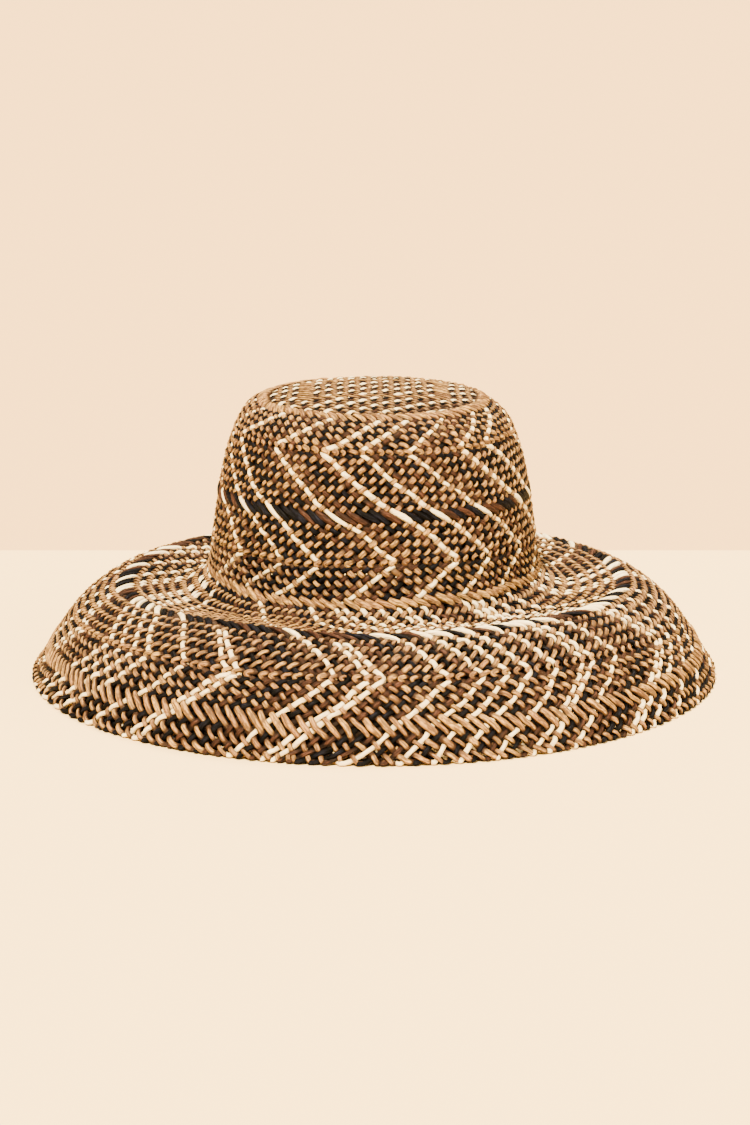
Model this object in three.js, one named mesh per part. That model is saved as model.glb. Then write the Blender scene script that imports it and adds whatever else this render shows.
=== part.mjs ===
import * as THREE from 'three';

// Sun hat plaited from paper straw, as it rests on a surface: a gently domed tip, a round
// side that flares a little towards its foot, and a wide bell brim that turns down to the
// surface. The whole hat is one springy wall of straw, two strands thick, hollow below.
// Millimetres, +Z up, the surface at z = 0, the front of the hat towards -Y.

// Driving sizes
const WALL = 2.4;
const PLAIT_GAP = 0.3;
const COLUMNS = 64;

// Meridian of the outer face, from the middle of the tip to the brim's edge. Across and
// along are half sizes, because a head is longer than it is wide. Steps is the number of
// facets down to the next station.
const STATIONS = [
  { name: 'tip_middle',     across: 0,     along: 0,     height: 152.4, steps: 2 },
  { name: 'tip_dome',       across: 30,    along: 34,    height: 151.4, steps: 2 },
  { name: 'tip_ring',       across: 57,    along: 64.5,  height: 147.6, steps: 1 },
  { name: 'shoulder',       across: 65.8,  along: 74.2,  height: 143.3, steps: 1 },
  { name: 'shoulder_foot',  across: 71.4,  along: 80.4,  height: 137.2, steps: 1 },
  { name: 'upper_turn',     across: 74.6,  along: 83.8,  height: 130,   steps: 2 },
  { name: 'upper_side',     across: 79,    along: 88.2,  height: 116.5, steps: 2 },
  { name: 'dark_line',      across: 82.4,  along: 91.6,  height: 98.5,  steps: 2 },
  { name: 'lower_turn',     across: 86.2,  along: 95.4,  height: 74,    steps: 2 },
  { name: 'side_foot',      across: 88.6,  along: 98,    height: 56,    steps: 1 },
  { name: 'hollow_start',   across: 91.8,  along: 101.2, height: 51.6,  steps: 1 },
  { name: 'hollow',         across: 101,   along: 110.4, height: 49.4,  steps: 2 },
  { name: 'rise',           across: 119,   along: 128.4, height: 51,    steps: 1 },
  { name: 'crest',          across: 137,   along: 146.2, height: 52.4,  steps: 2 },
  { name: 'fall',           across: 152,   along: 161.2, height: 47,    steps: 2 },
  { name: 'bend',           across: 164,   along: 173,   height: 37,    steps: 2 },
  { name: 'roll',           across: 175.6, along: 184.8, height: 17,    steps: 2 },
  { name: 'edge',           across: 184,   along: 193.2, height: 0,     steps: 0 },
];

// Soft unevenness of the straw. Azimuth is in degrees from the front towards +X, and the
// other columns lift the stations of those names above the meridian's own height: the left
// shoulder stands fuller than the right one, and the brim falls and rises in soft waves.
const WAVES = [
  { azimuth: 0,   shoulder: 0,    hollow: 0,    rise: 0,    crest: 0.5,  fall: 1,    bend: 1.5,  roll: 0 },
  { azimuth: 30,  shoulder: -0.5, hollow: -1.5, rise: 0,    crest: 1.8,  fall: 0.5,  bend: -1.5, roll: -1 },
  { azimuth: 60,  shoulder: -1,   hollow: -3.5, rise: -2.5, crest: 0.5,  fall: -1.5, bend: -2.5, roll: 3 },
  { azimuth: 90,  shoulder: -1.5, hollow: -3,   rise: -2.5, crest: -2,   fall: -5,   bend: -6.5, roll: -3.5 },
  { azimuth: 120, shoulder: -1,   hollow: -1,   rise: -1,   crest: -2,   fall: -4,   bend: -4.5, roll: -2 },
  { azimuth: 150, shoulder: -0.5, hollow: 0,    rise: 0,    crest: -1.5, fall: -2,   bend: -1.5, roll: 0 },
  { azimuth: 180, shoulder: 0,    hollow: 0,    rise: -0.5, crest: -2.5, fall: -2,   bend: 0,    roll: 1 },
  { azimuth: 210, shoulder: 0.5,  hollow: -1,   rise: -1.5, crest: -3,   fall: -3,   bend: -2,   roll: 0 },
  { azimuth: 240, shoulder: 1.5,  hollow: -2.5, rise: -2.5, crest: -2.5, fall: -3.5, bend: -4,   roll: -2 },
  { azimuth: 270, shoulder: 2.5,  hollow: -3.5, rise: -3.5, crest: -4,   fall: -6,   bend: -7,   roll: -5 },
  { azimuth: 300, shoulder: 1.5,  hollow: -2.5, rise: -2,   crest: -0.5, fall: -1,   bend: -1,   roll: -0.5 },
  { azimuth: 330, shoulder: 0.5,  hollow: -0.5, rise: 0,    crest: 2,    fall: 3,    bend: 4,    roll: 3 },
];

const FULL_TURN = 360;
const LAST = STATIONS.length - 1;

function stationIndex(name) {
  return STATIONS.findIndex((station) => station.name === name);
}

// Height that a wave adds at a station, eased between the two rows beside the azimuth.
function waveAt(name, azimuth) {
  if (!(name in WAVES[0])) return 0;
  const pitch = FULL_TURN / WAVES.length;
  const turn = ((azimuth % FULL_TURN) + FULL_TURN) % FULL_TURN;
  const row = Math.floor(turn / pitch);
  const before = WAVES[row][name];
  const after = WAVES[(row + 1) % WAVES.length][name];
  const share = THREE.MathUtils.smoothstep(turn / pitch - row, 0, 1);
  return THREE.MathUtils.lerp(before, after, share);
}

// One meridian as a smooth curve through its stations.
function meridian(azimuth) {
  const angle = THREE.MathUtils.degToRad(azimuth);
  const points = STATIONS.map((station) => new THREE.Vector3(
    station.across * Math.sin(angle),
    -station.along * Math.cos(angle),
    station.height + waveAt(station.name, azimuth),
  ));
  return new THREE.CatmullRomCurve3(points, false, 'centripetal');
}

// Outer face at a place along a meridian, counted in stations.
function outerPoint(azimuth, place) {
  return meridian(azimuth).getPoint(place / LAST);
}

function outerNormal(azimuth, place) {
  const sideStep = 0.5;
  const downStep = 0.02;
  const above = Math.max(place - downStep, downStep);
  const below = Math.min(place + downStep, LAST);
  const around = outerPoint(azimuth + sideStep, below).sub(outerPoint(azimuth - sideStep, below));
  const down = outerPoint(azimuth, below).sub(outerPoint(azimuth, above));
  return down.cross(around).normalize();
}

// Inner face: one wall below the outer one. At the edge the wall is cut level, so that
// the brim stands on a flat ring.
function innerPoint(azimuth, place) {
  const outer = outerPoint(azimuth, place);
  if (place === 0) return outer.setZ(outer.z - WALL);
  const normal = outerNormal(azimuth, place);
  if (place < LAST) return outer.addScaledVector(normal, -WALL);
  const level = new THREE.Vector3(normal.x, normal.y, 0);
  return outer.addScaledVector(level.normalize(), -WALL / Math.hypot(normal.x, normal.y));
}

// Places of a piece's rings of facets between two stations.
function ringPlaces(first, last) {
  const places = [];
  for (let station = first; station < last; station += 1) {
    const steps = STATIONS[station].steps;
    for (let step = 0; step < steps; step += 1) places.push(station + step / steps);
  }
  places.push(last);
  return places;
}

// Moves a place along the meridian by a length.
function shifted(place, length) {
  const probe = 0.01;
  const ahead = Math.min(place + probe, LAST);
  const speed = outerPoint(0, ahead).distanceTo(outerPoint(0, ahead - probe)) / probe;
  return place + length / speed;
}

// A closed shell between two stations: its outer face, its inner face and a rim at each
// end. A shell that starts at the middle of the tip closes in a point instead of a rim.
function shell(firstName, lastName) {
  const first = stationIndex(firstName);
  const last = stationIndex(lastName);
  const places = ringPlaces(first, last);
  const hasPole = first === 0;
  if (!hasPole) places[0] = shifted(first, PLAIT_GAP / 2);
  if (last < LAST) places[places.length - 1] = shifted(last, -PLAIT_GAP / 2);
  const rings = hasPole ? places.slice(1) : places;

  const vertices = [];
  const addRing = (pointAt, place) => {
    const start = vertices.length;
    for (let column = 0; column < COLUMNS; column += 1) {
      vertices.push(pointAt((FULL_TURN * column) / COLUMNS, place));
    }
    return start;
  };
  const outerRings = rings.map((place) => addRing(outerPoint, place));
  const innerRings = rings.map((place) => addRing(innerPoint, place));

  const triangles = [];
  const addBand = (upper, lower) => {
    for (let column = 0; column < COLUMNS; column += 1) {
      const next = (column + 1) % COLUMNS;
      triangles.push([upper + column, lower + column, lower + next]);
      triangles.push([upper + column, lower + next, upper + next]);
    }
  };
  for (let ring = 0; ring + 1 < rings.length; ring += 1) {
    addBand(outerRings[ring], outerRings[ring + 1]);
    addBand(innerRings[ring + 1], innerRings[ring]);
  }
  addBand(outerRings.at(-1), innerRings.at(-1));
  if (hasPole) {
    const top = vertices.push(outerPoint(0, 0)) - 1;
    const under = vertices.push(innerPoint(0, 0)) - 1;
    for (let column = 0; column < COLUMNS; column += 1) {
      const next = (column + 1) % COLUMNS;
      triangles.push([top, outerRings[0] + column, outerRings[0] + next]);
      triangles.push([under, innerRings[0] + next, innerRings[0] + column]);
    }
  } else {
    addBand(innerRings[0], outerRings[0]);
  }

  const geometry = new THREE.BufferGeometry();
  const numbers = vertices.flatMap((point) => point.toArray());
  geometry.setAttribute('position', new THREE.Float32BufferAttribute(numbers, 3));
  geometry.setIndex(triangles.flat());
  geometry.computeVertexNormals();
  return geometry;
}

function straw(color) {
  return new THREE.MeshStandardMaterial({ color, roughness: 0.85, metalness: 0, flatShading: true });
}

function piece(name, firstName, lastName, color) {
  const mesh = new THREE.Mesh(shell(firstName, lastName), straw(color));
  mesh.name = name;
  return mesh;
}

// The tip ends in the line of long tan strands round its rim, the side in the tan line at
// its foot, and the brim in the turned edge that stands on the surface.
const hat = new THREE.Group();
hat.name = 'sun_hat';
hat.add(piece('crown_tip', 'tip_middle', 'tip_ring', 0xb08a5e));
hat.add(piece('crown_side', 'tip_ring', 'side_foot', 0x8a6a4a));
hat.add(piece('brim', 'side_foot', 'edge', 0x9c7850));

export default hat;
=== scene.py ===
# %% [markdown]
# A plaited straw sun hat.
# The hat in this lesson is plaited from rolled paper straw. Tan strands lean one way,
# black, brown and white strands lean the other way, and each passes over one strand and
# under the next, from the middle of the tip down to the edge of the brim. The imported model
# gives the hat's wall as plain shells. A picture of straw could be laid on them, but it
# would be flat and would stretch. Here every strand is laid into that wall instead, so the
# pattern, the relief and the small holes are all real shape.

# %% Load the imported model
import math

import bpy
import numpy as np
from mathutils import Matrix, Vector
from mathutils.bvhtree import BVHTree


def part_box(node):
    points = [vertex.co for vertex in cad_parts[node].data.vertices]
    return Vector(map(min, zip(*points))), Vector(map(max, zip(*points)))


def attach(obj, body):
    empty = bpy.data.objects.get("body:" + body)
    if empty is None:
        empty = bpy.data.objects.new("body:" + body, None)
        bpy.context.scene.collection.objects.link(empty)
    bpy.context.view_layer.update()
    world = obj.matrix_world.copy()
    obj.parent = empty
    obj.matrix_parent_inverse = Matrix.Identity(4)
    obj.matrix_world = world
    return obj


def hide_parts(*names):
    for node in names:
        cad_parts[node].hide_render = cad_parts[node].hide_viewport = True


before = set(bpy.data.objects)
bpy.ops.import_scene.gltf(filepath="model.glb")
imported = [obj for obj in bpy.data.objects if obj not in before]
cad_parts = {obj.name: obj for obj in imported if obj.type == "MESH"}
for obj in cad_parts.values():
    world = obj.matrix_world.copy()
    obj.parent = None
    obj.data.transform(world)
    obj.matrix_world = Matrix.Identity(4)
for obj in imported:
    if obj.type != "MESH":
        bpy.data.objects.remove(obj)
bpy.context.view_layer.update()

MM = 0.001
print("nodes:", sorted(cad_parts))

# %% [markdown]
# The camera comes first. It looks at the front of the hat from a little above. The focal
# length is worked out from the picture's height in pixels, because Blender's sensor belongs to
# the longer side of the picture. The camera has to see far, because the floor is very large.

# %% Camera
PICTURE_HEIGHT = 1125
FOCAL_PIXELS = 2798
SENSOR_MM = 36.0
CAMERA_DISTANCE = 1500 * MM
CAMERA_ELEVATION = math.radians(12.45)
AIM = Vector((0.5 * MM, 0.0, 56.9 * MM))
SIGHT_END = 200.0


def add_camera():
    data = bpy.data.cameras.new("camera")
    data.sensor_width = SENSOR_MM
    data.lens = FOCAL_PIXELS / PICTURE_HEIGHT * SENSOR_MM
    data.clip_end = SIGHT_END
    camera = bpy.data.objects.new("camera", data)
    away = Vector((0.0, -math.cos(CAMERA_ELEVATION), math.sin(CAMERA_ELEVATION)))
    camera.location = AIM + away * CAMERA_DISTANCE
    camera.rotation_euler = (-away).to_track_quat("-Z", "Y").to_euler()
    bpy.context.scene.collection.objects.link(camera)
    bpy.context.scene.camera = camera
    return camera


camera = add_camera()
print("lens:", round(camera.data.lens, 2), "mm")

# %% [markdown]
# A material in Blender is a graph of nodes. Written as plain Python maths it is far easier to
# read, so a small class wraps one socket and adds a Math node for each operation on it. The
# painter makes every other kind of node with one method. Most sockets are found by name, and
# those that share a name by their number.

# %% Shader maths as Python expressions
MIX_FIRST_COLOUR = 6
MIX_SECOND_COLOUR = 7
MIX_RESULT_COLOUR = 2
ATTRIBUTE_VECTOR = 1
ATTRIBUTE_NUMBER = 2
OBJECT_COORDINATES = 3


class Value:
    """A number that varies over a surface."""

    def __init__(self, painter, socket):
        self.painter = painter
        self.socket = socket

    def _math(self, operation, first, second):
        return self.painter.node("ShaderNodeMath", {"operation": operation}, {0: first, 1: second})

    def __add__(self, other):
        return self._math("ADD", self, other)

    def __radd__(self, other):
        return self._math("ADD", other, self)

    def __sub__(self, other):
        return self._math("SUBTRACT", self, other)

    def __rsub__(self, other):
        return self._math("SUBTRACT", other, self)

    def __mul__(self, other):
        return self._math("MULTIPLY", self, other)

    def __rmul__(self, other):
        return self._math("MULTIPLY", other, self)


class Painter:
    """Builds the node graph of one material."""

    def __init__(self, name):
        self.material = bpy.data.materials.new(name)
        self.material.use_nodes = True
        self.tree = self.material.node_tree
        self.tree.nodes.clear()

    def node(self, kind, settings=None, inputs=None, output=0):
        made = self.tree.nodes.new(kind)
        for key, setting in (settings or {}).items():
            setattr(made, key, setting)
        for key, value in (inputs or {}).items():
            if isinstance(value, Value):
                self.tree.links.new(value.socket, made.inputs[key])
            else:
                made.inputs[key].default_value = value
        return Value(self, made.outputs[output])

    def mix(self, factor, first, second):
        inputs = {"Factor": factor, MIX_FIRST_COLOUR: first, MIX_SECOND_COLOUR: second}
        return self.node("ShaderNodeMix", {"data_type": "RGBA"}, inputs, MIX_RESULT_COLOUR)

    def ramp(self, factor, low, high):
        """0 up to low, 1 from high on, with a soft S between them."""
        settings = {"interpolation_type": "SMOOTHSTEP"}
        inputs = {"Value": factor, "From Min": low, "From Max": high}
        return self.node("ShaderNodeMapRange", settings, inputs)

    def size(self, value):
        return self.node("ShaderNodeMath", {"operation": "ABSOLUTE"}, {0: value})

    def carried(self, name, output):
        """An attribute that the mesh carries."""
        return self.node("ShaderNodeAttribute", {"attribute_name": name}, None, output)

    def part(self, vector, index):
        """One of a vector's three numbers."""
        return self.node("ShaderNodeSeparateXYZ", None, {0: vector}, index)

    def surface(self, **inputs):
        shader = self.node("ShaderNodeBsdfPrincipled", None, inputs)
        end = self.tree.nodes.new("ShaderNodeOutputMaterial")
        self.tree.links.new(shader.socket, end.inputs["Surface"])
        return self.material


def linear(red, green, blue):
    """A colour as seen on a screen, 0 to 255, turned into light by the screen's own curve."""
    channels = []
    for channel in (red, green, blue):
        share = channel / 255
        low = share / 12.92
        high = ((share + 0.055) / 1.055) ** 2.4
        channels.append(low if share <= 0.04045 else high)
    return (*channels, 1.0)


print("middle grey as light:", round(linear(128, 128, 128)[0], 3))

# %% [markdown]
# Rolled paper straw has fine creases along the strand, and an open seam that wanders over its
# face where the rolled paper ends. It is lighter in soft patches and differs in tone from one
# straw to the next. Its closed creases, its seam, its flanks and the parts down in the plait
# get painted shade, a darker colour for the shade that falls there. A picture of straw would
# stretch and repeat, so the finish is worked out at each point. Each strand carries its own
# coordinates for that in an attribute called grain: outward from its middle, across its width
# and along it, in millimetres. Tone is one random number for each strand. Relief is the height
# over the middle of the wall.

# %% Straw finishes
CREASE_ACROSS = 1.25
CREASE_ALONG = 0.2
CREASE_DETAIL = 2.0
CREASE_ROUGHNESS = 0.6
CREASE_VARIETY = 40
CREASE_OPEN = (0.4, 0.58)
# Share of the straw's colour kept in a closed crease; the rest is painted shade.
CREASE_CLEAR = 0.2
CREASE_DEPTH = 0.35 * MM
CREASE_STRENGTH = 0.9
MOTTLE_SCALE = 0.35
MOTTLE_DETAIL = 1.0
MOTTLE_VARIETY = 17
MOTTLE_MIDDLE = 0.5
# Near the seam the creases close, so the seam takes painted shade as a crease does.
SEAM = (0.02, 0.28)
SEAM_WANDER = 3.0
SEAM_CLEAR = 0.25
# Ranges of relief and of flank, in mm, over which painted shade gives way to the straw's colour.
SHADE_BY_RELIEF = (0.5, 1.5)
SHADE_ON_FLANK = (0.32, 0.86)
CREST = (0.4, 1.0)
TONE_SHARE = 0.4
ROUGHNESS = 0.66
POLISH = 0.1


def straw_finish(name, deep, body, crest, sheen):
    painter = Painter(name)
    grain = painter.carried("grain", ATTRIBUTE_VECTOR)
    tone = painter.carried("tone", ATTRIBUTE_NUMBER)
    relief = painter.carried("relief", ATTRIBUTE_NUMBER)
    stretched = painter.node("ShaderNodeVectorMath", {"operation": "MULTIPLY"}, {
        0: grain, 1: (CREASE_ACROSS, CREASE_ACROSS, CREASE_ALONG)})
    creases = painter.node("ShaderNodeTexNoise", {"noise_dimensions": "4D"}, {
        "Vector": stretched, "W": tone * CREASE_VARIETY, "Scale": 1.0,
        "Detail": CREASE_DETAIL, "Roughness": CREASE_ROUGHNESS})
    mottle = painter.node("ShaderNodeTexNoise", {"noise_dimensions": "4D"}, {
        "Vector": grain, "W": tone * MOTTLE_VARIETY, "Scale": MOTTLE_SCALE,
        "Detail": MOTTLE_DETAIL})
    outward = painter.part(grain, 0)
    across = painter.part(grain, 1)
    from_seam = painter.size(across + (mottle - MOTTLE_MIDDLE) * SEAM_WANDER)
    off_seam = SEAM_CLEAR + painter.ramp(from_seam, *SEAM) * (1 - SEAM_CLEAR)
    open_crease = painter.ramp(creases, *CREASE_OPEN) * off_seam
    # Painted shade: closed creases, the seam, the flanks and the low parts of each strand take the
    # shade colour.
    raised = painter.ramp(painter.size(relief), *SHADE_BY_RELIEF)
    facing = painter.ramp(painter.size(outward), *SHADE_ON_FLANK)
    lifted = painter.ramp(mottle + tone * TONE_SHARE, *CREST)
    colour = painter.mix(lifted, linear(*body), linear(*crest))
    clear = raised * facing * (CREASE_CLEAR + open_crease * (1 - CREASE_CLEAR))
    colour = painter.mix(clear, linear(*deep), colour)
    bump = painter.node("ShaderNodeBump", None, {
        "Height": open_crease, "Strength": CREASE_STRENGTH, "Distance": CREASE_DEPTH})
    return painter.surface(**{
        "Base Color": colour,
        "Roughness": ROUGHNESS - open_crease * POLISH,
        "Specular IOR Level": sheen,
        "Normal": bump,
    })


SLOTS = {"tan": "tan_straw", "brown": "brown_straw", "black": "dark_straw", "white": "white_straw"}
STRAW_COLOURS = {
    # painted shade down in the plait, colour over most of the straw and in its light patches, and
    # sheen
    "tan": ((40, 20, 8), (156, 114, 74), (200, 158, 95), 0.25),
    "brown": ((18, 8, 6), (58, 35, 28), (78, 50, 42), 0.12),
    "black": ((2, 2, 3), (8, 9, 17), (19, 21, 36), 0.06),
    "white": ((230, 211, 176), (254, 246, 214), (255, 253, 234), 0.25),
}
FINISHES = {
    colour: straw_finish(SLOTS[colour], *looks) for colour, looks in STRAW_COLOURS.items()
}
print("finishes:", ", ".join(FINISHES))

# %% [markdown]
# The floor is one very large plane. In the picture a warm wall begins behind the hat, but a
# real wall would hide the hat from the back, so the floor itself changes its tone there. The
# plait has small holes, and hardly any light comes through those of a real hat, so the floor
# is painted dark under it.

# %% Floor
FLOOR_REACH = 60.0
FLOOR_COLOUR = (250, 223, 171)
FLOOR_ROUGHNESS = 0.9
BACKDROP_COLOUR = (223, 186, 138)
BACKDROP_LINE = 0.292
BACKDROP_BLEND = 0.004
UNDER_SHADOW_COLOUR = (52, 36, 24)
UNDER_ACROSS = 0.181
UNDER_ALONG = 0.19
UNDER_BLEND = (0.93, 1.0)


def add_floor():
    painter = Painter("floor")
    place = painter.node("ShaderNodeTexCoord", None, None, OBJECT_COORDINATES)
    across = painter.part(place, 0)
    along = painter.part(place, 1)
    beyond = painter.ramp(along, BACKDROP_LINE, BACKDROP_LINE + BACKDROP_BLEND)
    colour = painter.mix(beyond, linear(*FLOOR_COLOUR), linear(*BACKDROP_COLOUR))
    # Painted shadow: the floor takes a dark colour inside the brim's oval.
    reach = across * across * UNDER_ACROSS ** -2 + along * along * UNDER_ALONG ** -2
    outside = painter.ramp(reach, *UNDER_BLEND)
    colour = painter.mix(outside, linear(*UNDER_SHADOW_COLOUR), colour)
    material = painter.surface(**{"Base Color": colour, "Roughness": FLOOR_ROUGHNESS})
    signs = ((-1, -1), (1, -1), (1, 1), (-1, 1))
    corners = [(x * FLOOR_REACH, y * FLOOR_REACH, 0.0) for x, y in signs]
    mesh = bpy.data.meshes.new("floor")
    mesh.from_pydata(corners, [], [(0, 1, 2, 3)])
    mesh.materials.append(material)
    floor = bpy.data.objects.new("floor", mesh)
    bpy.context.scene.collection.objects.link(floor)
    return floor


floor = add_floor()

# %% [markdown]
# Suns light the whole floor evenly, however far it reaches. The key comes from high on the
# left and in front, wide enough for soft edges. A weak and very wide one on the right opens
# up the shaded side, and one from behind draws the thin shadow in front of the brim. The
# world stays dim, so that the gaps between the strands stay dark.

# %% Lights
SUNS = (
    # name, degrees from the front towards the right, degrees up, strength, width in degrees
    ("key", -22.0, 56.0, 19.8, 5.0),
    ("fill", 60.0, 32.0, 5.0, 60.0),
    ("back", 165.0, 58.0, 4.2, 10.0),
)
SUN_COLOUR = (1.0, 0.78, 0.45)
WORLD_COLOUR = (1.0, 0.78, 0.48, 1.0)
WORLD_STRENGTH = 0.35


def add_sun(name, azimuth, height, strength, width):
    data = bpy.data.lights.new(name, "SUN")
    data.energy = strength
    data.angle = math.radians(width)
    data.color = SUN_COLOUR
    sun = bpy.data.objects.new(name, data)
    turn = math.radians(azimuth)
    up = math.radians(height)
    level = math.cos(up)
    towards = Vector((math.sin(turn) * level, -math.cos(turn) * level, math.sin(up)))
    sun.rotation_euler = towards.to_track_quat("Z", "Y").to_euler()
    bpy.context.scene.collection.objects.link(sun)


def add_world():
    world = bpy.data.worlds.new("studio")
    world.use_nodes = True
    background = world.node_tree.nodes["Background"]
    background.inputs["Color"].default_value = WORLD_COLOUR
    background.inputs["Strength"].default_value = WORLD_STRENGTH
    bpy.context.scene.world = world


for sun in SUNS:
    add_sun(*sun)
add_world()

# %% [markdown]
# The strands follow the hat's wall. Its shape could be built again from numbers, but then
# the two could drift apart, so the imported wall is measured. The hat is open below and seen
# whole from the middle of its foot, so one ray for each direction finds the outer face.
# A direction has a turn, once round the oval head, and a slant from straight up to level.
# The name of the shell that a ray hits tells where the tip, the side and the brim begin.

# %% Measure the wall
SHELLS = ("crown_tip", "crown_side", "brim")
TURNS = 240
SLANTS = 700
RAY_START = 0.6
RAY_LIFT = 0.3 * MM


def shell_tree():
    corners = []
    triangles = []
    owners = []
    for number, name in enumerate(SHELLS):
        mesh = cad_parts[name].data
        first = len(corners)
        corners.extend(vertex.co.copy() for vertex in mesh.vertices)
        for polygon in mesh.polygons:
            triangles.append([first + index for index in polygon.vertices])
            owners.append(number)
    return BVHTree.FromPolygons(corners, triangles), owners


def head_oval():
    low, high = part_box("crown_side")
    return (high.y - low.y) / (high.x - low.x)


def outer_face():
    """Points of the outer face by turn, from the tip's middle to the edge, and their shells."""
    tree, owners = shell_tree()
    oval = head_oval()
    slants = np.linspace(math.pi / 2, 0.0, SLANTS)
    columns = []
    for turn in range(TURNS):
        angle = 2 * math.pi * turn / TURNS
        across = math.sin(angle)
        along = -math.cos(angle) * oval
        points = []
        shells = []
        for slant in slants:
            ray = Vector((across * math.cos(slant), along * math.cos(slant), math.sin(slant)))
            ray.normalize()
            place, _, index, _ = tree.ray_cast(ray * RAY_START + Vector((0, 0, RAY_LIFT)), -ray)
            if place is not None:
                points.append(place)
                shells.append(owners[index])
        columns.append((np.array(points), np.array(shells)))
    return columns


columns = outer_face()
print("rays that met the hat:", sum(len(points) for points, _ in columns))

# %% [markdown]
# The places down a meridian are counted in shells: 0 is the tip's middle, 1 the rim of the
# tip, 2 the foot of the side and 3 the edge of the brim, with equal lengths in between. The
# shells are faceted, so the points are smoothed both ways, and then moved in by half of the
# wall, to the middle of the straw.

# %% Turn the measurements into one smooth surface
WALL = 2.4 * MM
STEPS = (70, 130, 170)
SMOOTH_TURNS = 2.2
SMOOTH_STEPS = 4.0
BLUR_REACH = 3


def lengths_along(points):
    """How far along a line each of its points is."""
    steps = np.linalg.norm(np.diff(points, axis=0), axis=1)
    return np.concatenate([[0.0], np.cumsum(steps)])


def resampled(points, shells):
    """One meridian at equal steps in each shell."""
    lengths = lengths_along(points)
    pieces = []
    start = 0.0
    for number, steps in enumerate(STEPS):
        inside = np.nonzero(shells == number)[0]
        end = lengths[inside[-1]]
        wanted = np.linspace(start, end, steps, endpoint=False)
        pieces.append(np.stack([np.interp(wanted, lengths, points[:, k]) for k in range(3)], 1))
        start = end
    return np.concatenate(pieces + [points[-1:]])


def blurred(values, width, around):
    """Gaussian blur along the first axis, which closes on itself where around is true."""
    reach = int(BLUR_REACH * width)
    offsets = np.arange(-reach, reach + 1)
    weights = np.exp(-0.5 * (offsets / width) ** 2)
    weights /= weights.sum()
    if around:
        return sum(w * np.roll(values, o, axis=0) for w, o in zip(weights, offsets))
    ends = (reach, reach)
    padded = np.pad(values, [ends] + [(0, 0)] * (values.ndim - 1), "reflect", reflect_type="odd")
    count = len(values)
    return sum(w * padded[reach + o:reach + o + count] for w, o in zip(weights, offsets))


def blurred_down(grid, width):
    """The same blur along the second axis, down the meridians."""
    return np.swapaxes(blurred(np.swapaxes(grid, 0, 1), width, around=False), 0, 1)


def smooth_wall():
    grid = np.stack([resampled(points, shells) for points, shells in columns])
    grid = blurred(grid, SMOOTH_TURNS, around=True)
    grid = blurred_down(grid, SMOOTH_STEPS)
    grid[:, 0] = grid[:, 0].mean(axis=0)
    around = np.roll(grid, -1, axis=0) - np.roll(grid, 1, axis=0)
    down = np.gradient(grid, axis=1)
    normals = np.cross(down, around)
    normals[:, 0] = (0.0, 0.0, 1.0)
    normals /= np.linalg.norm(normals, axis=2, keepdims=True)
    return grid - normals * WALL / 2, normals


wall_points, wall_normals = smooth_wall()
print("wall grid:", wall_points.shape)


def looked_up(grid, turn, place):
    """Values of a grid at turns, once round is 1, and places, 0 to 3."""
    marks = np.concatenate([[0], np.cumsum(STEPS)])
    row = np.interp(place, np.arange(len(marks)), marks)
    column = (turn % 1.0) * TURNS
    left = np.floor(column).astype(int)
    upper = np.minimum(np.floor(row).astype(int), grid.shape[1] - 2)
    a = (column - left)[:, None]
    b = (row - upper)[:, None]
    right = (left + 1) % TURNS
    left = left % TURNS
    above = grid[left, upper] * (1 - a) + grid[right, upper] * a
    below = grid[left, upper + 1] * (1 - a) + grid[right, upper + 1] * a
    return above * (1 - b) + below * b


# %% [markdown]
# The plait is counted in rows. In one row a coloured strand moves one cell to one side and a
# tan strand one cell to the other, so they cross twice in a row, at each whole and each half
# row. One cell could be drawn and repeated, but the hat widens all the way down, so rules
# give the place, the lean and the level of each strand at any row. The first rule says where
# the rows lie: a few are fixed by the lines and the turns that show on the hat, and the rows
# between them are spaced evenly. The whole plait has also crept round the hat in places.

# %% Where the rows lie
LANDMARKS = (
    # name, row, place on the meridian
    ("tip_line", 0.0, 1.03),
    ("upper_turn", 5.5, 1.254),
    ("above_side_line", 11.0, 1.515),
    ("below_side_line", 14.0, 1.641),
    ("lower_turn", 17.5, 1.804),
    ("above_foot_line", 21.0, 1.972),
    ("foot_line", 22.0, 2.003),
    ("below_foot_line", 23.0, 2.034),
    ("above_brim_line", 29.0, 2.345),
    ("below_brim_line", 32.0, 2.492),
    ("brim_turn", 35.5, 2.672),
    ("tan_line", 40.0, 2.849),
    ("edge", 43.0, 2.997),
)
FIRST_ROW = -2.0
EDGE_ROW = 43.0
ROW_STEP = 0.02
ROW_GRID = np.arange(FIRST_ROW, EDGE_ROW, ROW_STEP)
PLACE_PER_FIRST_ROW = 0.045
LANDMARK_BLUR = 25.0
DRIFTS = (
    # row, degrees that the whole plait has crept round the hat
    (-2.0, 0.0), (5.5, 0.0), (11.0, 1.7), (14.0, 4.7), (17.5, 4.9), (22.0, 3.5),
    (29.0, 3.5), (32.0, 4.8), (35.5, 3.5), (38.0, 3.5), (40.0, 2.5), (44.0, 2.3),
)


def place_grid():
    rows = [row for _, row, _ in LANDMARKS]
    places = [place for _, _, place in LANDMARKS]
    above = places[0] + (FIRST_ROW - rows[0]) * PLACE_PER_FIRST_ROW
    straight = np.interp(ROW_GRID, [FIRST_ROW] + rows, [above] + places)
    return blurred(straight, LANDMARK_BLUR, around=False)


PLACES = place_grid()


def place_at(row):
    """Place of a row, which comes back up on the inside past the edge."""
    return np.interp(EDGE_ROW - np.abs(row - EDGE_ROW), ROW_GRID, PLACES)


def drift_at(row):
    rows, degrees = zip(*DRIFTS)
    return np.interp(row, rows, degrees) / 360


print("the last row ends at place", round(float(place_at(EDGE_ROW)), 3))

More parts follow.
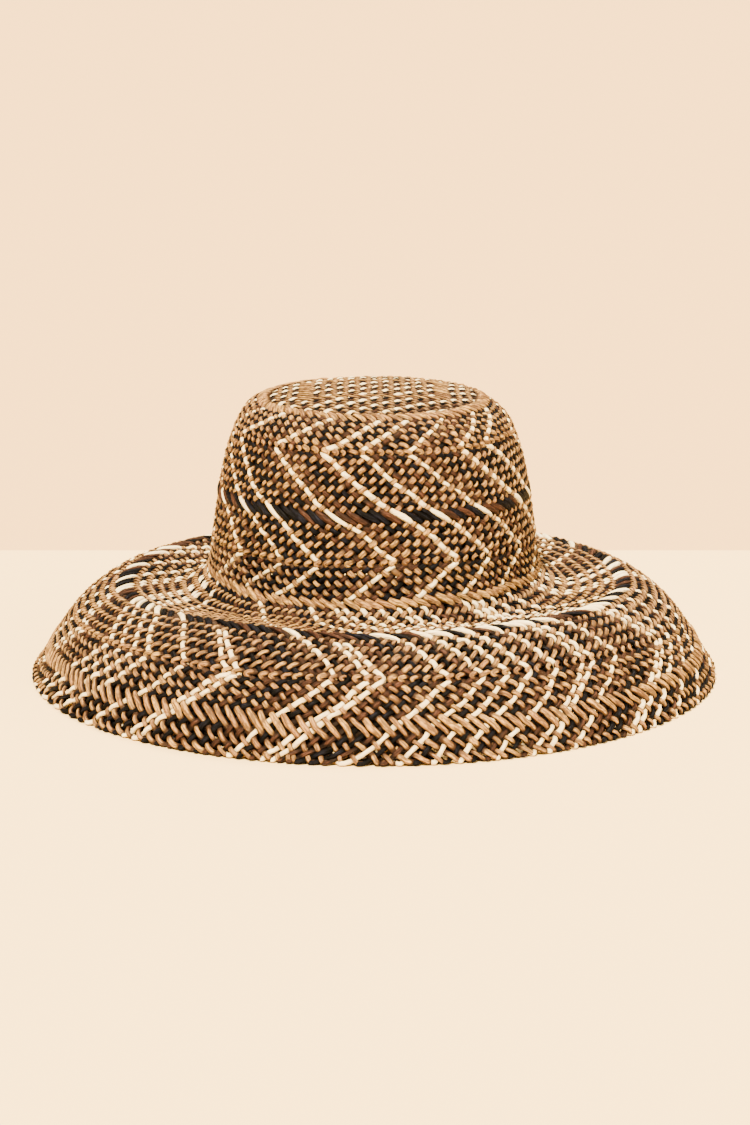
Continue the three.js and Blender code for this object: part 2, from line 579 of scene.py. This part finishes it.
# %% [markdown]
# Where the plaiter changes hands, the strands turn back, and the white ones draw a zigzag.
# Paper straw bends in a tight, round corner there. The corners overlap a little, and a tan
# strand hooks over the corner of a coloured one before it heads back, so its path swings out
# past the turn.

# %% How the strands lean and turn back
CORNER_ROUNDING = 0.2
CORNER_OVERLAP = 0.08
CORNER_ROWS = 0.5
HOOK_REACH = 0.24
HOOK_ROWS = 0.22
HOOK_AHEAD = 0.03


def hump(values, middle, width):
    """1 in the middle, falling softly to 0 on both sides."""
    return np.exp(-(((values - middle) / width) ** 2))


def lean_at(plait, row, is_tan):
    """Cells that a strand has moved its own way since its plait's first row."""
    heading = plait["heading"]
    lean = heading * (row - plait["first"])
    for turn_row in plait["turns"]:
        past = row - turn_row
        corner = (CORNER_ROUNDING + CORNER_OVERLAP) * hump(past, 0.0, CORNER_ROWS)
        if is_tan:
            corner = corner + HOOK_REACH * hump(past, -HOOK_AHEAD, HOOK_ROWS)
        lean = lean - heading * (past + np.hypot(past, CORNER_ROUNDING) - corner)
        heading = -heading
    return lean


print("a hook swings out by", HOOK_REACH, "of a cell")

# %% [markdown]
# Tan lies on top at the half rows and colour at the whole rows. Where the plaiter skips one
# crossing, a strand floats over three and draws a line round the hat: tan lines round the
# tip, at the foot of the crown and near the edge, and dark lines on the side and on the brim.
# At a turn a tan strand comes up over the corner and dives under the next strand. At the edge
# of the brim all the strands stand a little proud and then fold under. The levels could be
# charted crossing by crossing, but one list and these few rules do it for every strand.

# %% Which strand lies on top
TAN_FLOATS = (0.0, 22.0, 40.0)
DARK_FLOATS = (12.5, 30.5)
FOLD_ROWS = 1.4
SPARE_CROSSINGS = (2, 4)
TAN_PROUD = 0.12
TURN_WINDOW = 0.5
# A rise, a dive and a fold have a start, in rows past the turn or the edge, and a length.
HOOK_RISE = (-0.45, 0.25)
HOOK_DIVE = (0.04, 0.26)
FOLD = (-0.15, 0.5)
FOLD_LEVEL = -2.2
FOLD_FLATTENS = 0.6
EDGE_PROUD = 0.55
EDGE_CREST = -0.2
EDGE_CREST_ROWS = 0.45


def tan_on_top(crossing):
    """True where tan lies on top at a crossing, counted in half rows."""
    if crossing / 2 in TAN_FLOATS:
        return True
    if crossing / 2 in DARK_FLOATS:
        return False
    return crossing % 2 == 1


CROSSINGS = np.arange(
    int(2 * FIRST_ROW) - SPARE_CROSSINGS[0],
    int(2 * (EDGE_ROW + FOLD_ROWS)) + SPARE_CROSSINGS[1],
)
TAN_LEVELS = np.array([1.0 if tan_on_top(crossing) else -1.0 for crossing in CROSSINGS])


def eased(levels, position):
    """Levels given at whole numbers, with a soft S between them."""
    left = np.floor(position).astype(int)
    share = 0.5 - 0.5 * np.cos(math.pi * (position - left))
    return levels[left] * (1 - share) + levels[left + 1] * share


def smooth_step(values):
    share = np.clip(values, 0.0, 1.0)
    return share * share * (3 - 2 * share)


def stepped(values, start, length):
    """0 before the start and 1 past the length, with a soft S between them."""
    return smooth_step((values - start) / length)


def level_at(plait, row, is_tan):
    """How far out of the wall's middle a strand lies: about 1 on top and -1 underneath."""
    level = eased(TAN_LEVELS, 2 * row - CROSSINGS[0])
    level = level + TAN_PROUD
    level = level if is_tan else -level
    for turn_row in plait["turns"] if is_tan else ():
        past = row - turn_row
        raised = stepped(past, *HOOK_RISE) * (1 - stepped(past, *HOOK_DIVE))
        level = np.where(np.abs(past) < TURN_WINDOW, 2 * raised - 1 + TAN_PROUD, level)
    level = level + EDGE_PROUD * hump(row - EDGE_ROW, EDGE_CREST, EDGE_CREST_ROWS)
    folded = stepped(row - EDGE_ROW, *FOLD)
    return level * (1 - FOLD_FLATTENS * folded) + FOLD_LEVEL * folded


print("tan's levels at the first crossings:", TAN_LEVELS[:8].tolist())

# %% [markdown]
# A hat grows wider as it goes down, so the plaiter adds strands. The crown is started with
# fewer strands than its side has, and the brim gets more below its dark line. An old strand
# keeps its neighbours, and eases over from the old spacing to the new one, and a new strand
# starts out of sight, under its first crossing.
#
# The colours are given in charts, because the plaiter chose them by eye and no rule gives
# them. A chart lists the gaps from one white strand to the next, and each gap has its own
# short run of black (k) and brown (b) strands.

# %% Charts of the coloured strands
RUNS = {
    1: "",
    2: "k",
    3: "kb",
    4: "kkk",
    5: "bkbk",
    6: "bbkkb",
    7: "kkkbkb",
    8: "kkbkkbb",
    9: "kkbkbkkb",
}
CROWN_GAPS = (4, 5, 6, 4, 7, 5, 4, 7, 6, 4, 5, 6, 4, 7, 5, 6, 4, 7)
BRIM_GAPS = (
    2, 2, 2, 4, 4, 1, 8, 3, 1, 6, 3, 2, 2, 3, 3, 1, 3, 6, 1, 2, 3,
    4, 7, 1, 5, 3, 8, 4, 1, 6, 5, 2, 3, 7, 1, 5, 6, 2, 4, 1, 8, 3, 5, 6, 4, 1, 6,
)
COLOURS = {"w": "white", "k": "black", "b": "brown"}


def chart(gaps, start):
    """One letter for each strand from the back round, its first white strand at start."""
    letters = "".join("w" + RUNS[gap] for gap in gaps)
    print("chart of", len(letters), "strands")
    return letters[-start:] + letters[:-start]


# Each plait has its first row, the last row of its tan and coloured strands, the way that
# its coloured strands head at first, the rows where they turn back, the row where strands
# are added with the number of strands before and after it, and the row at which its chart
# is read. White strands are never among the added ones, apart from those in added_whites.
CROWN_PLAIT = {
    "first": -1.0, "last_tan": 23.0, "last_coloured": 22.3, "heading": -1, "turns": (5.5, 17.5),
    "added": 5.0, "before": 80, "after": 96, "read_at": 12.5, "chart": chart(CROWN_GAPS, 2),
    "added_whites": (),
}
BRIM_PLAIT = {
    "first": 22.0, "last_tan": EDGE_ROW + FOLD_ROWS, "last_coloured": EDGE_ROW + FOLD_ROWS,
    "heading": 1, "turns": (35.5,),
    "added": 31.0, "before": 128, "after": 170, "read_at": 35.5, "chart": chart(BRIM_GAPS, 58),
    "added_whites": (72, 73, 84, 85),
}

# %% [markdown]
# The straw is rolled from strips of paper, a little flattened by the plaiting. White straw is
# the slimmest, and the brim's is slimmer than the side's. The sizes are kept under the names
# of the inputs of the tree that makes the straw.

# %% Sizes of the straw
STRAW_SIDES = 6
STRAW_THICKNESS = 1.05
STRAW_LIFT = 0.9


def straw_sizes(half_width, half_thickness=STRAW_THICKNESS, lift=STRAW_LIFT):
    """The sizes of a straw, given in millimetres, under the names that its tree uses."""
    return {
        "Half Width": half_width * MM,
        "Half Thickness": half_thickness * MM,
        "Lift": lift * MM,
        "Sides": STRAW_SIDES,
    }


TIP_STRAWS = dict.fromkeys(SLOTS, straw_sizes(1.45, 0.9, 0.65))
SIDE_STRAWS = {
    "tan": straw_sizes(1.38), "brown": straw_sizes(1.28),
    "black": straw_sizes(1.28), "white": straw_sizes(1.12),
}
BRIM_STRAWS = {
    "tan": straw_sizes(1.28), "brown": straw_sizes(1.2),
    "black": straw_sizes(1.2), "white": straw_sizes(1.12),
}
print("half width of white straw:", round(SIDE_STRAWS["white"]["Half Width"] / MM, 2), "mm")

# %% [markdown]
# Hands never plait quite evenly. Smooth random numbers sway all the strands of a place
# together, and a slow drift lets each strand wander a little by itself. All of them come from
# one generator with a fixed seed, so that the hat is the same each time.

# %% The unevenness of the hand
SEED = 29
SWAY_CELLS = (60, 34)
POINTS_PER_KNOT = 6
FEWEST_KNOTS = 4
random = np.random.default_rng(SEED)


def sway_grid():
    """Smooth random numbers over turns and places, because hands never plait evenly."""
    grid = random.normal(size=(TURNS, sum(STEPS) + 1, 2))
    grid = blurred(grid, TURNS / SWAY_CELLS[0], around=True)
    grid = blurred_down(grid, sum(STEPS) / SWAY_CELLS[1])
    return grid / grid.std(axis=(0, 1))


SWAY = sway_grid()


def wander(count):
    """A slow random drift, because no strand is laid quite straight."""
    knots = random.normal(0.0, 1.0, max(FEWEST_KNOTS, count // POINTS_PER_KNOT))
    return np.interp(np.linspace(0, len(knots) - 1, count), np.arange(len(knots)), knots)


print("sway grid:", SWAY.shape)

# %% [markdown]
# The strands are numbered round the hat. Below the row where strands are added, each one is
# either an old strand, which has a number of its own above that row, or an added one. The
# added ones are spread evenly. White lines run on from above, apart from a few at the front
# of the brim that begin there, so a white strand may have to swap with a dark one beside it.

# %% Old strands and added ones
SWAP_REACH = 4


def shift_at(plait, row, is_tan):
    lean = lean_at(plait, row, is_tan)
    return -lean if is_tan else lean


def chart_place(plait, number):
    """Where a coloured strand stands in its plait's chart."""
    shift = float(shift_at(plait, plait["read_at"], False))
    return int((number + shift + plait["after"] / 2) % plait["after"])


def chart_colour(plait, number):
    return COLOURS[plait["chart"][chart_place(plait, number)]]


def swap_start(old, from_number, to_number, after):
    """Lets the strand at to_number be the added one instead of the one at from_number."""
    step = 1 if to_number > from_number else -1
    for number in range(from_number, to_number, step):
        old[number % after] = old[(number + step) % after]
    del old[to_number % after]


def old_strands(plait, is_tan):
    """For each strand below the row where strands are added, its number above it, if any."""
    after = plait["after"]
    shift = float(shift_at(plait, plait["added"], is_tan))
    old = {}
    for number in range(plait["before"]):
        share = (number + shift) / plait["before"]
        old[round(share * after - shift) % after] = number
    if is_tan:
        return old
    white = {n for n in range(after) if plait["chart"][chart_place(plait, n)] == "w"}
    starts = {n for n in range(after) if chart_place(plait, n) in plait["added_whites"]}
    near = sorted(range(-SWAP_REACH, SWAP_REACH + 1), key=abs)
    for number in range(after):
        if number in white - starts and number not in old:
            step = next(k for k in near if (number + k) % after in set(old) - white)
            swap_start(old, number, number + step, after)
        elif number in starts and number in old:
            step = next(k for k in near if (number + k) % after not in set(old) | white)
            swap_start(old, number + step, number, after)
    return old


def under_row(row, is_tan):
    """The first half row from a row on where a strand lies under its crossing."""
    crossing = math.ceil(2 * row)
    while tan_on_top(crossing) == is_tan:
        crossing += 1
    return crossing / 2


print("old strands of the brim:", len(old_strands(BRIM_PLAIT, False)), "of", BRIM_PLAIT["after"])

# %% [markdown]
# A path is a list of points on the wall with the way out of the wall at each of them, the
# level at which the strand lies, its girth and its tone. Straw is soft: it spreads where it
# floats free, where it passes from over to under and where it is hidden, so its girth grows
# there and the plait closes up. Where a path would bring the straw below the surface that the
# hat stands on, it is raised until the straw rests there.

# %% Strands laid on the wall
SAMPLES_PER_ROW = 6
EASE_ABOVE = 1.5
EASE_BELOW = 1.0
STRAY = 0.11
SWAY_TURN = 0.0016
SWAY_PLACE = 0.0072
SWAY_END = 2.985
SWAY_FADE = 0.1
LEVEL_WANDER = 0.08
GIRTH_WANDER = 0.07
GIRTH_DIFFERENCE = 0.09
PASSING_SPREAD = 0.14
HIDDEN_SPREAD = 0.38
HIDDEN_END = 2.95
HIDDEN_FADE = 0.05
FLOAT_SPREAD = 0.4
FLOAT_ROWS = 0.6
REST_HEIGHT = 1.42 * MM


def strand_turns(plait, number, old, rows, is_tan):
    """How far round the hat a strand is at each row, eased over from its old spacing."""
    shift = shift_at(plait, rows, is_tan)
    turns = (number + shift) / plait["after"]
    if old is not None:
        old_turns = (old + shift) / plait["before"]
        apart = (old_turns - turns + 0.5) % 1.0 - 0.5
        eased_over = smooth_step((rows - plait["added"] + EASE_ABOVE) / (EASE_ABOVE + EASE_BELOW))
        turns = turns + apart * (1 - eased_over)
    return turns + drift_at(rows) - drift_at(plait["read_at"])


def float_girth(rows, is_tan):
    """Straw that floats free of the other lean spreads a little wider."""
    lines = TAN_FLOATS if is_tan else DARK_FLOATS
    return 1 + FLOAT_SPREAD * sum(hump(rows, line, FLOAT_ROWS) for line in lines)


def laid_strand(turns, places, levels, spread=1.0):
    """A strand as points on the wall with all that the straw tree needs to know."""
    count = len(turns)
    sway = looked_up(SWAY, turns, places)
    turns = turns + SWAY_TURN * sway[:, 0]
    inward = smooth_step((SWAY_END - places) / SWAY_FADE)
    places = places + SWAY_PLACE * sway[:, 1] * inward
    points = looked_up(wall_points, turns, places)
    out = looked_up(wall_normals, turns, places)
    levels = levels * (1 + LEVEL_WANDER * wander(count))
    uneven = (1 + GIRTH_DIFFERENCE * random.normal()) * (1 + GIRTH_WANDER * wander(count))
    passing = 1 - levels.clip(-1, 1) ** 2
    hidden = smooth_step(-levels) * smooth_step((HIDDEN_END - places) / HIDDEN_FADE)
    girth = uneven * spread * (1 + PASSING_SPREAD * passing + HIDDEN_SPREAD * hidden)
    height = points[:, 2] + levels * (STRAW_LIFT * MM) * out[:, 2]
    points[:, 2] += np.maximum(REST_HEIGHT * girth - height, 0.0)
    tone = np.full(count, random.random())
    return {"points": points, "out": out, "level": levels, "girth": girth, "tone": tone}


def sampled_rows(plait, start, last, is_tan):
    """Rows at which a strand gets a point, with twice as many where a tan strand turns."""
    steps = int(round((last - start) * SAMPLES_PER_ROW))
    rows = start + np.arange(steps + 1) / SAMPLES_PER_ROW
    between = rows[:-1] + 0.5 / SAMPLES_PER_ROW
    turns = plait["turns"] if is_tan else ()
    near = [between[np.abs(between - turn_row) < TURN_WINDOW] for turn_row in turns]
    return np.sort(np.concatenate([rows] + near))


def plaited_strands(plait, is_tan):
    """All strands of one lean in a plait, as (colour, rows, strand)."""
    old = old_strands(plait, is_tan)
    last = plait["last_tan" if is_tan else "last_coloured"]
    made = []
    for number in range(plait["after"]):
        start = under_row(plait["first"] if number in old else plait["added"], is_tan)
        rows = sampled_rows(plait, start, last, is_tan)
        turns = strand_turns(plait, number, old.get(number), rows, is_tan)
        turns = turns + STRAY * wander(len(rows)) / plait["after"]
        levels = level_at(plait, rows, is_tan)
        strand = laid_strand(turns, place_at(rows), levels, float_girth(rows, is_tan))
        colour = "tan" if is_tan else chart_colour(plait, number)
        made.append((colour, rows, strand))
    return made


brim_rows = sampled_rows(BRIM_PLAIT, BRIM_PLAIT["first"], BRIM_PLAIT["last_tan"], True)
print("points on a tan strand of the brim:", len(brim_rows))

# %% [markdown]
# The tip is plaited flat before the crown is turned down, so its strands run straight across
# it, and the crown's own strands start over their ends. A square of tan floats shows where
# the work began. White, black and brown strands take turns here. The tip is almost flat, so
# its strands are drawn straight as seen from above and then laid on the wall.

# %% Strands of the tip
CELL_ACROSS = 5.9 * MM
CELL_ALONG = 5.2 * MM
TIP_REACH = 0.99
TIP_TUCK = 0.93
SQUARE_CELLS = 6
SQUARE_ROWS = 5
SQUARE_LINE = 0.3
SPARE_CELLS = 2
TIP_ORDER = ("white", "black", "brown")


def tip_half_sizes():
    low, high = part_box("crown_tip")
    return (high.x - low.x) / 2, (high.y - low.y) / 2


def tip_tan_on_top(row, cell):
    on_columns = abs(abs(cell) - SQUARE_CELLS) < SQUARE_LINE and abs(row) <= SQUARE_ROWS
    on_rows = abs(abs(row) - SQUARE_ROWS) < SQUARE_LINE and abs(cell) <= SQUARE_CELLS
    return on_columns or on_rows or round(2 * row) % 2 == 1


def tip_strand(number, is_tan):
    """One straight strand of the tip, or None where it would be too short to lay."""
    half_across, half_along = tip_half_sizes()
    lean = 1 if is_tan else -1
    reach = int(half_along / CELL_ALONG) + SPARE_CELLS
    crossings = np.arange(-2 * reach, 2 * reach + 1)
    tops = [tip_tan_on_top(c / 2, number + lean * c / 2) for c in crossings]
    levels = np.where(np.array(tops) == is_tan, 1.0, -1.0)
    last_row = reach - 0.5
    rows = np.arange(-reach, last_row, 1 / SAMPLES_PER_ROW)
    x = (number + lean * rows) * CELL_ACROSS
    y = -rows * CELL_ALONG
    out = np.hypot(x / half_across, y / half_along)
    inside = np.nonzero(out < TIP_REACH)[0]
    if len(inside) < SAMPLES_PER_ROW:
        return None
    keep = slice(inside[0], inside[-1] + 1)
    rows, x, y, out = rows[keep], x[keep], y[keep], out[keep]
    turns = np.arctan2(x * head_oval(), -y) / (2 * math.pi)
    level = eased(levels, 2 * (rows + reach))
    tuck = smooth_step((out - TIP_TUCK) / (TIP_REACH - TIP_TUCK))
    return laid_strand(turns, out, level * (1 - tuck) - tuck)


def tip_strands(is_tan):
    half_across, half_along = tip_half_sizes()
    widest = int(half_across / CELL_ACROSS + half_along / CELL_ALONG)
    made = []
    for number in range(-widest, widest + 1):
        strand = tip_strand(number, is_tan)
        if strand is not None:
            colour = "tan" if is_tan else TIP_ORDER[number % len(TIP_ORDER)]
            made.append((colour, strand))
    return made


# %% [markdown]
# Geometry Nodes turn the paths into straw. The tree lifts each point off the wall by its
# level, sweeps a flattened round section along the path with the flat side on the wall, and
# keeps the coordinates that the finish reads. A path is only a line of vertices and edges,
# so hundreds of strands go through one modifier.

# %% The tree that makes straw from lines


def new_tree(name, inputs):
    tree = bpy.data.node_groups.new(name, "GeometryNodeTree")
    tree.interface.new_socket("Geometry", in_out="OUTPUT", socket_type="NodeSocketGeometry")
    tree.interface.new_socket("Geometry", in_out="INPUT", socket_type="NodeSocketGeometry")
    for label, kind in inputs.items():
        tree.interface.new_socket(label, in_out="INPUT", socket_type=kind)
    return tree


def add_node(tree, kind, settings=None, inputs=None):
    made = tree.nodes.new(kind)
    for key, setting in (settings or {}).items():
        setattr(made, key, setting)
    for key, value in (inputs or {}).items():
        if isinstance(value, bpy.types.NodeSocket):
            tree.links.new(value, made.inputs[key])
        else:
            made.inputs[key].default_value = value
    return made


def stored(tree, name, kind):
    made = add_node(tree, "GeometryNodeInputNamedAttribute", {"data_type": kind}, {"Name": name})
    return next(socket for socket in made.outputs if socket.enabled and socket.name == "Attribute")


def maths(tree, operation, first, second):
    made = add_node(tree, "ShaderNodeMath", {"operation": operation}, {0: first, 1: second})
    return made.outputs[0]


def marked(tree, geometry, name, kind, value):
    """The geometry with an attribute stored on its points."""
    settings = {"data_type": kind, "domain": "POINT"}
    inputs = {"Geometry": geometry, "Name": name, "Value": value}
    return add_node(tree, "GeometryNodeStoreNamedAttribute", settings, inputs).outputs[0]


def straw_tree():
    tree = new_tree("straw", {
        "Half Width": "NodeSocketFloat",
        "Half Thickness": "NodeSocketFloat",
        "Lift": "NodeSocketFloat",
        "Sides": "NodeSocketInt",
        "Material": "NodeSocketMaterial",
    })
    given = tree.nodes.new("NodeGroupInput").outputs
    out = stored(tree, "out", "FLOAT_VECTOR")
    lines = add_node(tree, "GeometryNodeMeshToCurve", None, {"Mesh": given["Geometry"]})
    lift = maths(tree, "MULTIPLY", stored(tree, "level", "FLOAT"), given["Lift"])
    offset = add_node(tree, "ShaderNodeVectorMath", {"operation": "SCALE"}, {
        0: out, "Scale": lift})
    woven = add_node(tree, "GeometryNodeSetPosition", None, {
        "Geometry": lines.outputs[0], "Offset": offset.outputs[0]})
    facing = add_node(tree, "GeometryNodeSetCurveNormal", {"mode": "FREE"}, {
        "Curve": woven.outputs[0], "Normal": out})
    circle = add_node(tree, "GeometryNodeCurvePrimitiveCircle", None, {
        "Resolution": given["Sides"], "Radius": 1.0})
    flatness = add_node(tree, "ShaderNodeCombineXYZ", None, {
        0: given["Half Thickness"], 1: given["Half Width"], 2: 1.0})
    section = add_node(tree, "GeometryNodeTransform", None, {
        "Geometry": circle.outputs[0], "Scale": flatness.outputs[0]})
    corner = add_node(tree, "GeometryNodeInputPosition")
    profile = marked(tree, section.outputs[0], "section", "FLOAT_VECTOR", corner.outputs[0])
    straw = add_node(tree, "GeometryNodeCurveToMesh", None, {
        "Curve": facing.outputs[0], "Profile Curve": profile,
        "Scale": stored(tree, "girth", "FLOAT"), "Fill Caps": True})
    parts = add_node(tree, "ShaderNodeSeparateXYZ", None, {
        0: stored(tree, "section", "FLOAT_VECTOR")})
    outward = maths(tree, "DIVIDE", parts.outputs[0], MM)
    across = maths(tree, "DIVIDE", parts.outputs[1], MM)
    height = maths(tree, "ADD", maths(tree, "DIVIDE", lift, MM), outward)
    grain = add_node(tree, "ShaderNodeCombineXYZ", None, {
        0: outward, 1: across, 2: stored(tree, "along", "FLOAT")})
    relieved = marked(tree, straw.outputs[0], "relief", "FLOAT", height)
    kept = marked(tree, relieved, "grain", "FLOAT_VECTOR", grain.outputs[0])
    smooth = add_node(tree, "GeometryNodeSetShadeSmooth", None, {"Geometry": kept})
    real = add_node(tree, "GeometryNodeRealizeInstances", None, {"Geometry": smooth.outputs[0]})
    dressed = add_node(tree, "GeometryNodeSetMaterial", None, {
        "Geometry": real.outputs[0], "Material": given["Material"]})
    add_node(tree, "NodeGroupOutput", None, {"Geometry": dressed.outputs[0]})
    return tree


STRAW_TREE = straw_tree()
print("straw tree:", len(STRAW_TREE.nodes), "nodes")

# %% [markdown]
# All the straw of one colour in one part of the hat becomes one piece. Its strands are
# written into one mesh as lines, with their numbers as attributes of the points, so that the
# tree can sweep them all at once. A curve object for each strand would look the same, but
# hundreds of objects would be slow.

# %% Strands as the lines of one mesh


def chained(strands):
    """Edges that join the points of each strand, one strand after the other."""
    edges = []
    first = 0
    for strand in strands:
        chain = np.arange(first, first + len(strand["points"]))
        edges.append(np.stack([chain[:-1], chain[1:]], 1))
        first += len(chain)
    return np.concatenate(edges)


def give(mesh, name, kind, key, values):
    """Adds an attribute of a mesh's points, from one array for each strand."""
    attribute = mesh.attributes.new(name, kind, "POINT")
    attribute.data.foreach_set(key, np.concatenate(values).astype(np.float32).ravel())


def line_object(name, strands):
    mesh = bpy.data.meshes.new(name + "_lines")
    points = np.concatenate([strand["points"] for strand in strands])
    edges = chained(strands)
    mesh.vertices.add(len(points))
    mesh.vertices.foreach_set("co", points.astype(np.float32).ravel())
    mesh.edges.add(len(edges))
    mesh.edges.foreach_set("vertices", edges.astype(np.int32).ravel())
    give(mesh, "out", "FLOAT_VECTOR", "vector", [strand["out"] for strand in strands])
    for key in ("level", "girth", "tone"):
        give(mesh, key, "FLOAT", "value", [strand[key] for strand in strands])
    along = [lengths_along(strand["points"]) / MM for strand in strands]
    give(mesh, "along", "FLOAT", "value", along)
    lines = bpy.data.objects.new(name + "_lines", mesh)
    bpy.context.scene.collection.objects.link(lines)
    return lines


# %% [markdown]
# The modifier makes the straw, and its result is kept as a plain mesh, without the attributes
# that the finish doesn't read. The hat has no joints, so every piece rides on the one body.
# The imported shells that it takes the place of are hidden.

# %% From lines to finished pieces
BODY = "root"


def socket_id(tree, label):
    return next(item.identifier for item in tree.interface.items_tree if item.name == label)


def straw_piece(name, strands, colour, nodes, sizes):
    """Turns strands into one finished piece and gives back how many triangles it has."""
    lines = line_object(name, strands)
    modifier = lines.modifiers.new("straw", "NODES")
    modifier.node_group = STRAW_TREE
    for label, value in sizes.items():
        modifier[socket_id(STRAW_TREE, label)] = value
    modifier[socket_id(STRAW_TREE, "Material")] = FINISHES[colour]
    depsgraph = bpy.context.evaluated_depsgraph_get()
    mesh = bpy.data.meshes.new_from_object(lines.evaluated_get(depsgraph))
    lines.modifiers.remove(modifier)
    for attribute in ("out", "level", "girth", "along", "section"):
        if attribute in mesh.attributes:
            mesh.attributes.remove(mesh.attributes[attribute])
    bpy.data.objects.remove(lines)
    mesh.name = name
    piece = bpy.data.objects.new(name, mesh)
    bpy.context.scene.collection.objects.link(piece)
    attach(piece, BODY)
    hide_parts(*nodes)
    triangles = sum(len(polygon.vertices) - 2 for polygon in mesh.polygons)
    print(name, len(strands), "strands,", triangles, "triangles")
    return triangles


def colour_pieces(place, entries, nodes, sizes):
    """One piece for each colour of a part of the hat, from (colour, strand)."""
    groups = {}
    for colour, strand in entries:
        groups.setdefault(colour, []).append(strand)
    triangles = 0
    for colour, strands in groups.items():
        name = f"{place}_{colour}_straw"
        triangles += straw_piece(name, strands, colour, nodes, sizes[colour])
    return triangles


def cut(strand, keep):
    """The part of a strand that is kept."""
    return {key: values[keep] for key, values in strand.items()}


# %% [markdown]
# Now the hat is plaited: first its tip, then its side from the tip's rim down, and then its
# brim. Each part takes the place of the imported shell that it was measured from. The tan
# straw of the whole brim would be one very heavy piece, so it is cut in two at the row where
# strands are added. The cut ends meet there, and no gap shows.

# %% Build the tip, the side and the brim
tip = tip_strands(True) + tip_strands(False)
total = colour_pieces("tip", tip, ["crown_tip"], TIP_STRAWS)

side = plaited_strands(CROWN_PLAIT, True) + plaited_strands(CROWN_PLAIT, False)
side = [(colour, strand) for colour, _, strand in side]
total += colour_pieces("side", side, ["crown_side"], SIDE_STRAWS)

brim_tan = plaited_strands(BRIM_PLAIT, True)
added = BRIM_PLAIT["added"]
upper = [cut(strand, rows <= added) for _, rows, strand in brim_tan if rows[0] < added]
lower = [cut(strand, rows >= added) for _, rows, strand in brim_tan]
total += straw_piece("brim_upper_tan_straw", upper, "tan", ["brim"], BRIM_STRAWS["tan"])
total += straw_piece("brim_lower_tan_straw", lower, "tan", ["brim"], BRIM_STRAWS["tan"])

brim = [(colour, strand) for colour, _, strand in plaited_strands(BRIM_PLAIT, False)]
total += colour_pieces("brim", brim, ["brim"], BRIM_STRAWS)
print("triangles in all:", total)
